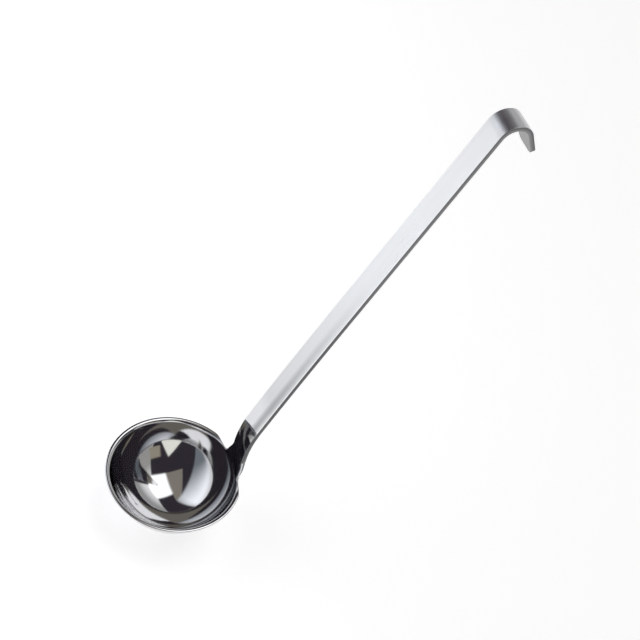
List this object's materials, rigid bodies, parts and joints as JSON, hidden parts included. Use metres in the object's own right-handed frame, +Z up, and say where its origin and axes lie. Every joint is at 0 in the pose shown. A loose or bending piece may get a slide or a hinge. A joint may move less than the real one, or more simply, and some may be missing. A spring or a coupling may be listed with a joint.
{
  "type": "soup ladle",
  "caption": "Stainless steel soup ladle: round mirror-polished bowl with a turned lip and neck, welded to a flat bar handle that rises steeply and bends back into a hook.",
  "frame": {"origin": "top of the hook's inside, on the ladle's middle plane, where a rail bears", "axes": "+Z up with the bowl's mouth level, +X from the bowl towards the handle's lean, +Y across the bar"},
  "size_m": [0.2048, 0.0902, 0.3348],
  "materials": {
    "bowl_steel": "mirror polished stainless steel",
    "handle_steel": "fine satin stainless steel, brushed along the bar",
    "weld_steel": "weld metal ground flush and polished"
  },
  "bodies": {
    "root": {"bowl": "bowl_steel", "handle": "handle_steel", "weld_front": "weld_steel", "weld_back": "weld_steel"}
  },
  "joints": []
}
